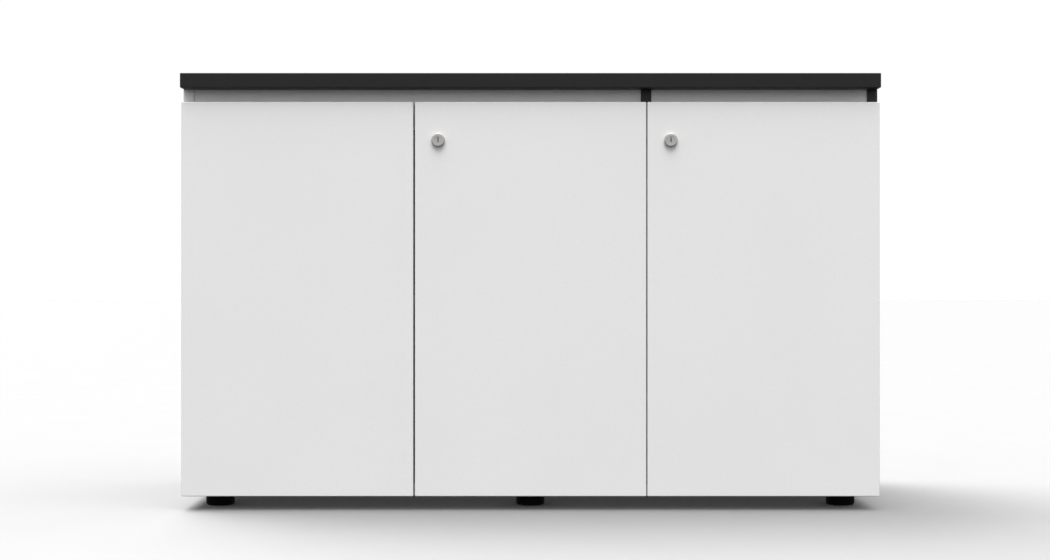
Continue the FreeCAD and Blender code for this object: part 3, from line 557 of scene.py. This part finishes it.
# Screws of the angles that hold the top; each angle has one in the wall and one in the top
ANGLE_HALF = 10 * MM
ANGLE_SHEET = 2 * MM
ANGLE_SCREW = 14 * MM
ANGLE_HEAD = (3.4 * MM, 1.5 * MM)
low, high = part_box("top_fixing_angles")
places = []
for wall_x, way in ((LEFT_INNER, 1), (PARTITION_LEFT, -1), (RIGHT_INNER, -1)):
    for y in (low.y + ANGLE_HALF, high.y - ANGLE_HALF):
        places.append((Vector((wall_x + way * ANGLE_SHEET, y, high.z - ANGLE_SCREW)), RIGHT * way))
        places.append((Vector((wall_x + way * ANGLE_SCREW, y, high.z - ANGLE_SHEET)), -UP))
screws("bracket_screws", places, ANGLE_HEAD, "carcass")

# Screws of the lock's keeper, the strike, the bolt's guide, its plate and the cams
KEEPER_SHEET = 2.3 * MM
KEEPER_SCREW = 9 * MM
KEEPER_SPREAD = 8 * MM
KEEPER_HEAD = (3.2 * MM, 1.3 * MM)
low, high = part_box("partition_lock_keeper")
middle = (low + high) / 2
places = []
for shift in (-KEEPER_SPREAD, KEEPER_SPREAD):
    places.append((Vector((low.x + KEEPER_SHEET, high.y - KEEPER_SCREW, middle.z + shift)), RIGHT))
screws("keeper_screws", places, KEEPER_HEAD, "carcass")

STRIKE_SCREW = 5.5 * MM
STRIKE_SPREAD = 11 * MM
STRIKE_HEAD = (2.8 * MM, 0.5 * MM)
low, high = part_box("left_strike_plate")
middle = (low + high) / 2
places = []
for shift in (-STRIKE_SPREAD, STRIKE_SPREAD):
    places.append((Vector((low.x + STRIKE_SCREW, high.y, middle.z + shift)), REAR))
screws("strike_screws", places, STRIKE_HEAD, "left_leaf")

GUIDE_SHEET = 2 * MM
GUIDE_SCREW_X = 9 * MM
GUIDE_SCREW_Z = 8 * MM
GUIDE_HEAD = (2.4 * MM, 1 * MM)
low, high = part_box("left_bolt_guide")
middle = (low + high) / 2
places = []
for level in (low.z + GUIDE_SCREW_Z, high.z - GUIDE_SCREW_Z):
    for shift in (-GUIDE_SCREW_X, GUIDE_SCREW_X):
        places.append((Vector((middle.x + shift, DOOR_BACK + GUIDE_SHEET, level)), REAR))
screws("bolt_guide_screws", places, GUIDE_HEAD, "left_leaf")

PLATE_SCREW = 6 * MM
PLATE_HEAD = (2.8 * MM, 0.9 * MM)
low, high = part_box("bolt_keeper_plate")
middle = (low + high) / 2
places = []
for x in (low.x + PLATE_SCREW, high.x - PLATE_SCREW):
    places.append((Vector((x, middle.y, low.z)), -UP))
screws("bolt_plate_screws", places, PLATE_HEAD, "carcass")

CAM_HEAD = (4.2 * MM, 2 * MM)
for side in LOCKED:
    low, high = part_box(f"{side}_lock_plug")
    middle = (low + high) / 2
    cam_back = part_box(f"{side}_lock_cam")[1].y
    places = [(Vector((middle.x, cam_back, middle.z)), REAR)]
    screws(f"{side}_cam_screw", places, CAM_HEAD, f"{side}_lock")

# Shelf pins with a rounded end and a thin collar against the wall, whose rim is broken in shares of its size
low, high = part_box("shelf_pins")
PIN_RADIUS = (high.z - low.z) / 2
PIN_DEPTH = LEFT_INNER - low.x
PIN_REACH = 9 * MM
PIN_END = 0.6 * MM
PIN_SIDES = 24
COLLAR_RADIUS = 4.2 * MM
COLLAR_THICK = 0.9 * MM
COLLAR_STRAIGHT = 0.7
COLLAR_FLAT = 0.93
PIN_PROFILE = [
    (0, -PIN_DEPTH),
    (PIN_RADIUS - PIN_END, -PIN_DEPTH),
    (PIN_RADIUS, PIN_END - PIN_DEPTH),
    (PIN_RADIUS, 0),
    (COLLAR_RADIUS, 0),
    (COLLAR_RADIUS, COLLAR_STRAIGHT * COLLAR_THICK),
    (COLLAR_FLAT * COLLAR_RADIUS, COLLAR_THICK),
    (PIN_RADIUS, COLLAR_THICK),
    (PIN_RADIUS, PIN_REACH - PIN_END),
    (PIN_RADIUS - PIN_END, PIN_REACH),
    (0, PIN_REACH),
]
level = (low.z + high.z) / 2
pin_mesh = bmesh.new()
for wall_x, way in ((LEFT_INNER, 1), (PARTITION_LEFT, -1), (PARTITION_RIGHT, 1), (RIGHT_INNER, -1)):
    for y in (low.y + PIN_RADIUS, high.y - PIN_RADIUS):
        turned(pin_mesh, PIN_PROFILE, standing(Vector((wall_x, y, level)), RIGHT * way), PIN_SIDES)
pins = piece("turned_shelf_pins", pin_mesh, zinc, "carcass")
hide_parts("shelf_pins")

# Soft domes behind the doors, straight for a share of their reach: short at the base, tall at the rail
BUMPER_STRAIGHT = 0.3
BUMPER_SIDES = 24
RAIL_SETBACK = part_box("wide_bay_front_rail")[0].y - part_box("base_panel")[0].y
for side in SIDES:
    low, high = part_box(f"{side}_door_bumpers")
    reach = high.y - low.y
    radius = (high.x - low.x) / 2
    x = (low.x + high.x) / 2
    bumper_mesh = bmesh.new()
    for z, tall in ((low.z + radius, reach - RAIL_SETBACK), (high.z - radius, reach)):
        profile = rounded((0, tall), (radius, BUMPER_STRAIGHT * tall)) + [(radius, 0), (0, 0)]
        turned(bumper_mesh, profile, standing(Vector((x, low.y, z)), REAR), BUMPER_SIDES)
    domes = piece(f"{side}_bumper_domes", bumper_mesh, soft_pad, f"{side}_leaf")
    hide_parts(f"{side}_door_bumpers")

# Levelling feet: a turned pad with a rounded lower edge, a shallow sole and a threaded stud
low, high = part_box("front_left_foot")
FOOT_RADIUS = (high.x - low.x) / 2
FOOT_HEIGHT = BASE_UNDER - FLOOR
STUD_LENGTH = high.z - BASE_UNDER
FOOT_ROUND = 4 * MM
FOOT_BREAK = 0.8 * MM
FOOT_SIDES = 48
SOLE_RADIUS = 17 * MM
SOLE_DEPTH = 1.2 * MM
THREAD_CORE = 3.1 * MM
THREAD_ROOT = 3.05 * MM
THREAD_CREST = 3.7 * MM
THREAD_PITCH = 1.25 * MM
THREAD_RIDGE = 1.2 * MM
THREAD_SIDES = 20
FOOT_PROFILE = [
    (0, SOLE_DEPTH),
    (SOLE_RADIUS - SOLE_DEPTH, SOLE_DEPTH),
    (SOLE_RADIUS, 0),
] + rounded((FOOT_RADIUS - FOOT_ROUND, 0), (FOOT_RADIUS, FOOT_ROUND)) + [
    (FOOT_RADIUS, FOOT_HEIGHT - FOOT_BREAK),
    (FOOT_RADIUS - FOOT_BREAK, FOOT_HEIGHT),
    (THREAD_CORE, FOOT_HEIGHT),
    (THREAD_CORE, FOOT_HEIGHT + STUD_LENGTH),
    (0, FOOT_HEIGHT + STUD_LENGTH),
]


def thread(mesh, place, length):
    """Closed ridge of triangular section that winds around the core of a stud."""
    section = ((THREAD_ROOT, 0), (THREAD_CREST, THREAD_RIDGE / 2), (THREAD_ROOT, THREAD_RIDGE))
    turns = length / THREAD_PITCH - 1
    rows = []
    for step in range(round(THREAD_SIDES * turns) + 1):
        angle = FULL_TURN * step / THREAD_SIDES
        rise = THREAD_PITCH * step / THREAD_SIDES
        across = Vector((math.cos(angle), math.sin(angle), 0))
        row = []
        for radius, height in section:
            row.append(mesh.verts.new(place @ (across * radius + UP * (rise + height))))
        rows.append(row)
    for low, high in zip(rows, rows[1:]):
        wall(mesh, low, high)
    mesh.faces.new(rows[0])
    mesh.faces.new(rows[-1])


for row in ("front", "rear"):
    for side in SIDES:
        node = f"{row}_{side}_foot"
        low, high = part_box(node)
        place = Matrix.Translation(((low.x + high.x) / 2, (low.y + high.y) / 2, FLOOR))
        foot_mesh = bmesh.new()
        turned(foot_mesh, FOOT_PROFILE, place, FOOT_SIDES)
        pad = piece(f"{node}_pad", foot_mesh, black_nylon, node)
        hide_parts(node)
        thread_mesh = bmesh.new()
        thread(thread_mesh, place @ Matrix.Translation((0, 0, FOOT_HEIGHT)), STUD_LENGTH)
        piece(f"{node}_thread", thread_mesh, zinc, node)


# Floor: it shows itself and takes shadows, and throws no light back

FLOOR_REACH = 30.0
FLOOR_TONES = ((0.416, 0.416, 0.416), (0.424, 0.424, 0.424))
floor_mesh = bmesh.new()
bmesh.ops.create_grid(floor_mesh, x_segments=1, y_segments=1, size=FLOOR_REACH)
floor_data = bpy.data.meshes.new("floor")
floor_mesh.to_mesh(floor_data)
floor_mesh.free()
floor_data.materials.append(plastic("pale_floor", FLOOR_TONES, rough=0.9, grain=300.0, bump=0.02, shine=0.1))
floor = bpy.data.objects.new("floor", floor_data)
floor.location.z = FLOOR
scene.collection.objects.link(floor)
floor.visible_diffuse = False
floor.visible_glossy = False
floor.visible_shadow = False


# Light: a white sky that fades towards the ground, a white backdrop for the camera, and four broad suns

WHITE_LIGHT = (1.0, 1.0, 1.0, 1.0)
SKY_LIGHT = 1.0
GROUND_LIGHT = 0.12
BACKDROP = 1.02
FADE_LOW = -0.2
FADE_HIGH = 0.3
world = bpy.data.worlds.new("studio")
world.use_nodes = True
world_tree = world.node_tree
fill = world_tree.nodes["Background"]
fill.inputs["Color"].default_value = WHITE_LIGHT
direction = add(world_tree, "TexCoord")
axes = add(world_tree, "SeparateXYZ")
world_tree.links.new(direction.outputs["Generated"], axes.inputs["Vector"])
climb = add(world_tree, "MapRange", interpolation_type="SMOOTHSTEP")
climb.inputs["From Min"].default_value = FADE_LOW
climb.inputs["From Max"].default_value = FADE_HIGH
climb.inputs["To Min"].default_value = GROUND_LIGHT
climb.inputs["To Max"].default_value = SKY_LIGHT
world_tree.links.new(axes.outputs["Z"], climb.inputs["Value"])
world_tree.links.new(climb.outputs["Result"], fill.inputs["Strength"])
backdrop = add(world_tree, "Background")
backdrop.inputs["Color"].default_value = WHITE_LIGHT
backdrop.inputs["Strength"].default_value = BACKDROP
seen = add(world_tree, "LightPath")
choice = add(world_tree, "MixShader")
world_tree.links.new(seen.outputs["Is Camera Ray"], choice.inputs["Fac"])
world_tree.links.new(fill.outputs["Background"], choice.inputs[1])
world_tree.links.new(backdrop.outputs["Background"], choice.inputs[2])
world_tree.links.new(choice.outputs["Shader"], world_tree.nodes["World Output"].inputs["Surface"])
scene.world = world

floor_only = bpy.data.collections.new("floor_only")
floor_only.objects.link(floor)
part_only = bpy.data.collections.new("part_only")
part_only.objects.link(floor)
part_only.collection_objects[0].light_linking.link_state = "EXCLUDE"


def wide_sun(name, power, degrees, way, receivers):
    """Parallel light from a broad disc, as from a large softbox, on the floor or on the part alone."""
    data = bpy.data.lights.new(name, "SUN")
    data.energy = power
    data.angle = math.radians(degrees)
    lamp = bpy.data.objects.new(name, data)
    lamp.rotation_mode = "QUATERNION"
    lamp.rotation_quaternion = Vector(way).to_track_quat("-Z", "Y")
    scene.collection.objects.link(lamp)
    lamp.light_linking.receiver_collection = receivers


wide_sun("shade", power=4.1, degrees=48, way=(0.47, -0.5, -1.0), receivers=floor_only)
wide_sun("cross", power=0.9, degrees=60, way=(-0.7, 0.1, -1.0), receivers=floor_only)
wide_sun("front", power=3.75, degrees=44, way=(0.0, 0.4, -1.0), receivers=part_only)
wide_sun("rear", power=1.5, degrees=50, way=(0.0, -0.75, -0.8), receivers=part_only)

scene.view_settings.view_transform = "Standard"


# Camera: level; the photograph's width and the part's middle are in pixels, the scale in pixels to the metre

PICTURE_WIDTH = 1050
PART_MIDDLE = 530.47
SCALE_AT_DOORS = 582.17
CAMERA_TO_DOORS = 2.9
CAMERA_HEIGHT = 0.3957
# The sensor and the lens are in millimetres
SENSOR_WIDTH = 36.0
camera_data = bpy.data.cameras.new("camera")
camera_data.sensor_width = SENSOR_WIDTH
camera_data.lens = SENSOR_WIDTH * SCALE_AT_DOORS * CAMERA_TO_DOORS / PICTURE_WIDTH
camera = bpy.data.objects.new("camera", camera_data)
aside = (PICTURE_WIDTH / 2 - PART_MIDDLE) / SCALE_AT_DOORS
camera.location = (aside, DOOR_FACE - CAMERA_TO_DOORS, CAMERA_HEIGHT)
camera.rotation_euler = (math.radians(90), 0, 0)
scene.collection.objects.link(camera)
scene.camera = camera
